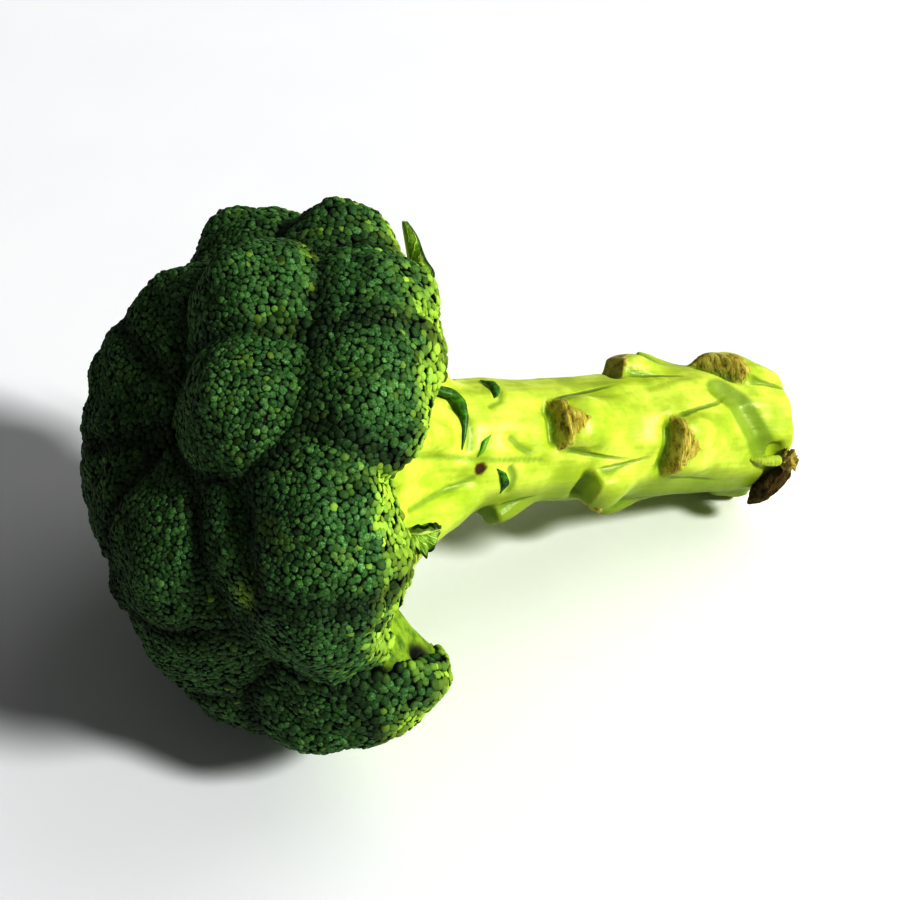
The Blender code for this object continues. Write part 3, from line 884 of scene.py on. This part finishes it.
def cushionsOn(places):
    fromMiddle, back = places - np.array(stalkMiddle), backOf(places)
    raised, shaded = np.zeros(len(places)), np.zeros(len(places))
    for scarBack, scarAround, tall, long, slant, _ in scars:
        middle = pointing(90, scarAround)
        u = fromMiddle @ np.array(middle.cross(axis)) / mm
        v = back - scarBack + u * slant
        facing = smooth(*scarLook["facing"], fromMiddle @ np.array(middle) / mm)
        across = 1 - smooth(tall * 0.55, tall * 1.15 + np.maximum(v, 0) * 0.1, np.abs(u))
        pad = (1 - smooth(0, long, v)) * smooth(-3.4, -1.0, v)
        front = np.exp(-((v + cushion["hollowPlace"]) / cushion["hollowWidth"]) ** 2)
        raised += facing * across * (pad * cushion["step"] - front * cushion["hollow"])
        # shaded marks the cushions' front hollows for painted shade
        shaded = np.maximum(shaded, facing * across * front)
    return raised * smooth(*cushion["fade"], back), shaded


def makeStalk():
    stalk = copyOfNode("stalk", "stalk_body")
    remesh(stalk, stalkLook["voxel"])
    ease(stalk, stalkLook["rounding"])
    mesh = stalk.data
    places, normals = placesOf(mesh), normalsOf(mesh)
    lumps = sum(wander(places, size * mm) * depth for size, depth in stalkLook["lumps"])
    carved = np.zeros(len(places))
    for depth, wide, spots in grooves:
        carved = np.maximum(carved, depth * np.exp(-(distanceTo(places, spots) / wide) ** 2))
    near = awayFrom(spot(*brownSpot["place"]), places) / mm
    hollow = brownSpot["depth"] * np.exp(-(near / brownSpot["width"]) ** 2)
    raised, shaded = cushionsOn(places)
    places += normals * ((lumps + raised - carved - hollow) * mm)[:, None]
    places[:, 2] = np.maximum(places[:, 2], 0)
    setPlaces(mesh, places)
    # groove carries the painted shade of the grooves and of the cushions' front hollows
    setValues(mesh, "groove", np.maximum(carved, shaded))
    setValues(mesh, "spot", np.exp(-(near / brownSpot["stain"]) ** 2))
    ease(stalk, stalkLook["easing"])
    setValues(mesh, "leafy", np.zeros(len(places)))
    setValues(mesh, "leafTone", np.zeros(len(places)))
    pieces = [stalk]
    for radii, flat, tone, spots in remnants:
        piece = sweepBall("remnant", spots, radii, flat)
        setValues(piece.data, "leafy", np.ones(len(piece.data.vertices)))
        setValues(piece.data, "leafTone", np.full(len(piece.data.vertices), tone))
        pieces.append(piece)
    only(*pieces)
    bpy.ops.object.join()
    bpy.ops.object.shade_smooth()
    mesh.materials.append(makeStalkSkin())
    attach(stalk, "root")
    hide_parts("stalk")


makeStalk()
print("stalk done")


leafLook = {
    "blade": colour(126, 164, 56), "light": colour(178, 208, 92), "vein": colour(216, 230, 140),
    "rim": colour(48, 80, 26), "thickness": 0.9, "curl": 0.75, "stemCurl": 0.35, "stem": 3.4,
    "mottle": 0.7, "broad": 3.5, "grid": (22, 60), "fullness": 0.75, "ruffle": 0.16, "ruffles": 30,
    "ragged": 0.09, "raggedSteps": 41, "glow": 0.08, "glowReach": (0.001, 0.002, 0.0005),
}
# foot, knee and tip as (back, out, around), then blade width and the share that is stem
leaves = {
    "leaf_top": ((50, 18, 328), (38, 42, 333), (32.5, 64, 333), 9.5, 0.42),
    "leaf_side": ((19, 31.5, 88), (23, 36, 85), (30, 35.5, 84), 10, 0.25),
    "leaf_far": ((60, 18.5, 265), (48, 32, 262), (36, 64, 257), 15, 0.35),
}


def makeLeafSkin():
    material, skin, place = newMaterial("leafSkin")
    side, share, stem = place.value("side"), place.value("share"), place.value("stem")
    mottle, broad = place.grain(leafLook["mottle"], 3), place.grain(leafLook["broad"], 2)
    off = abs(side)
    midrib = 1.0 - off.between(0.06, 0.2)
    slant = (share * 9.0 - off * 2.2 + (broad - 0.5) * 1.6).maths("FRACT")
    sideVein = (1.0 - abs(slant - 0.5).between(0.05, 0.16)) * 0.75
    vein = midrib.most(sideVein).most(stem)
    skinColour = (mottle * 0.5 + broad * 0.5).between(0.36, 0.64)
    skinColour = skinColour.blend(leafLook["blade"], leafLook["light"])
    skinColour = vein.blend(skinColour, leafLook["vein"])
    skinColour = (off.between(0.86, 0.98) * (1.0 - stem)).blend(skinColour, leafLook["rim"])
    plug(skin, Base_Color=skinColour, Roughness=0.42 + mottle * 0.2,
         Normal=bumpOf(vein + mottle * 0.3, 0.6, 0.5))
    skin.inputs["Subsurface Weight"].default_value = leafLook["glow"]
    skin.inputs["Subsurface Radius"].default_value = leafLook["glowReach"]
    return material


def makeLeaf(node, skin):
    foot, knee, tip, width, stem = leaves[node]
    tipAround = tip[2]
    wide, long = leafLook["grid"]
    bpy.ops.mesh.primitive_grid_add(x_subdivisions=wide, y_subdivisions=long, size=2)
    leaf = bpy.context.object
    leaf.name = node + "_blade"
    flat = placesOf(leaf.data)
    side, share = flat[:, 0], (flat[:, 1] + 1) / 2
    foot, knee, tip = (np.array(spot(*place)) for place in (foot, knee, tip))
    t = share[:, None]
    rib = foot * (1 - t) ** 3 + knee * 3 * t * (1 - t) + tip * t ** 3
    along = Vector(tip - knee).normalized()
    across = along.cross(pointing(90, tipAround)).normalized()
    face = np.array(across.cross(along).normalized())
    inBlade = np.clip((share - stem) / (1 - stem), 0, 1)
    spread = np.sin(math.pi * np.clip(0.04 + 0.93 * inBlade, 0, 1)) ** leafLook["fullness"]
    stemHalf = leafLook["stem"] / 2 * (1 - inBlade ** 0.5 * 0.8)
    half = np.maximum(stemHalf, width / 2 * spread * (inBlade > 0)) * mm
    steps = np.sin(share * leafLook["raggedSteps"] + np.sign(side) * 1.3)
    ragged = 1 + leafLook["ragged"] * steps * np.abs(side) ** 3 * (inBlade > 0)
    bladeShare = smooth(0.0, 0.3, inBlade)
    wave = np.sin(share * leafLook["ruffles"] + side * 1.5) * np.abs(side) ** 2
    wave = wave * leafLook["ruffle"] * bladeShare
    rise = side ** 2 * (leafLook["curl"] * bladeShare + leafLook["stemCurl"] * (1 - bladeShare)) + wave
    places = rib + np.array(across) * (side * half * ragged)[:, None] + face * (rise * half)[:, None]
    setPlaces(leaf.data, places)
    setValues(leaf.data, "side", side)
    setValues(leaf.data, "share", share)
    setValues(leaf.data, "stem", 1 - smooth(0.0, 0.12, inBlade))
    addModifier(leaf, "SOLIDIFY", thickness=leafLook["thickness"] * mm, offset=0)
    addModifier(leaf, "SUBSURF", levels=1, render_levels=1)
    leaf.data.materials.append(skin)
    faceOutwards(leaf)
    bpy.ops.object.shade_smooth()
    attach(leaf, "root")
    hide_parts(node)


leafSkin = makeLeafSkin()
for node in leaves:
    makeLeaf(node, leafSkin)
print("leaves done")


tornLook = {
    "dark": colour(56, 44, 18), "brown": colour(116, 96, 44), "fibre": colour(190, 174, 98),
    "green": colour(196, 214, 90), "mottle": 2.4, "greenTo": (155, 159),
}
# the torn leaf base: places as (back, out, around), radii in mm, flatness, roughness
tornPieces = {
    "flap": (((163.5, 20.5, 84), (161.0, 21.5, 96), (158.5, 22.6, 110), (157.5, 23.6, 122), (157.5, 25.0, 134)),
             (2.0, 3.2, 3.5, 3.4, 2.9, 1.8), 0.8, 0.5),
    "finger": (((145.5, 19.6, 79), (150.0, 21.2, 80), (155.5, 21.6, 80.5), (160.0, 21.6, 80.5)),
               (0.6, 1.3, 1.7, 2.1, 2.1), 0.9, 0.1),
    "tuft": (((157.5, 21.6, 79), (160.0, 22.4, 79.5), (163.0, 21.8, 80)), (1.9, 2.7, 3.0, 2.3), 0.95, 0.9),
}


def makeTornSkin():
    material, skin, place = newMaterial("tornSkin")
    green = place.value("green")
    _, back, high, near = alongStalk(place)
    fibre = (back * 1.5).joined(high * 0.22, near * 0.5).fibre()
    mottle = place.grain(tornLook["mottle"], 3)
    tornColour = (fibre * 0.7 + mottle * 0.3).between(0.38, 0.58).blend(tornLook["dark"], tornLook["brown"])
    fibreShare = (fibre * 0.75 + mottle * 0.25 + place.value("pale") * 0.3).between(0.58, 0.72)
    tornColour = fibreShare.blend(tornColour, tornLook["fibre"])
    skinColour = (green + (mottle - 0.5) * 0.6).between(0.35, 0.65).blend(tornColour, tornLook["green"])
    plug(skin, Base_Color=skinColour, Roughness=0.8 - green * 0.35, Normal=bumpOf(fibre, 0.9, 0.9))
    return material


def makeTornBase():
    pieces = []
    for name, (spots, radii, flat, rough) in tornPieces.items():
        piece = sweepBall("leaf_stub_" + name, spots, radii, flat, rough, 36, 60)
        places = placesOf(piece.data)
        places[:, 2] = np.maximum(places[:, 2], 0)
        setPlaces(piece.data, places)
        green = 1 - smooth(*tornLook["greenTo"], backOf(places))
        setValues(piece.data, "green", green * (name == "finger"))
        setValues(piece.data, "pale", np.full(len(places), float(name == "tuft")))
        pieces.append(piece)
    only(*pieces)
    bpy.ops.object.join()
    torn = bpy.context.object
    torn.name = "leaf_stub_torn"
    bpy.ops.object.transform_apply(location=True, rotation=True, scale=True)
    torn.data.materials.append(makeTornSkin())
    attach(torn, "root")
    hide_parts("leaf_stub")


makeTornBase()
print("torn base done")


view = {"azimuth": -24.44, "elevation": 45, "target": (6.0, 24.0, 30), "distance": 465.2, "lens": 60}
# azimuth, elevation, distance and size in metres, power
lamps = {"key": (46, 39, 14.0, 2.35, 2240), "rear": (100, 45, 3.0, 2.6, 22)}
studio = {"sky": 0.2, "gamma": 0.6, "floorSize": 40, "floorGrain": 60, "lampAim": (0, 0, 0.05)}
floorTones = (colour(247, 248, 250), colour(252, 252, 252))

bpy.ops.mesh.primitive_plane_add(size=studio["floorSize"], location=(0, 0, 0))
floor = bpy.context.object
floor.name = "floor"
material, skin, place = newMaterial("floorPaint")
plug(skin, Base_Color=place.grain(studio["floorGrain"], 2).blend(*floorTones), Roughness=0.7)
floor.data.materials.append(material)


def aimed(thing, place, target):
    thing.location = place
    thing.rotation_euler = (Vector(target) - Vector(place)).to_track_quat("-Z", "Y").to_euler()


def towards(azimuth, elevation):
    azimuth, elevation = math.radians(azimuth), math.radians(elevation)
    return Vector((math.sin(azimuth) * math.cos(elevation), -math.cos(azimuth) * math.cos(elevation),
                   math.sin(elevation)))


def addLamp(name, azimuth, elevation, distance, size, power):
    bpy.ops.object.light_add(type="AREA")
    lamp = bpy.context.object
    lamp.name = name
    lamp.data.shape = "DISK"
    lamp.data.size = size
    lamp.data.energy = power
    aimed(lamp, towards(azimuth, elevation) * distance, studio["lampAim"])


for name, settings in lamps.items():
    addLamp(name, *settings)
world = bpy.data.worlds.new("studio")
bpy.context.scene.world = world
world.use_nodes = True
world.node_tree.nodes["Background"].inputs[0].default_value = (1, 1, 1, 1)
world.node_tree.nodes["Background"].inputs[1].default_value = studio["sky"]
bpy.context.scene.view_settings.view_transform = "Standard"
bpy.context.scene.view_settings.gamma = studio["gamma"]

target = Vector(view["target"]) * mm
backward = towards(view["azimuth"], view["elevation"])
bpy.ops.object.camera_add()
camera = bpy.context.object
camera.data.lens = view["lens"]
camera.data.clip_start = 0.01  # in metres
aimed(camera, target + backward * view["distance"] * mm, target)
bpy.context.scene.camera = camera
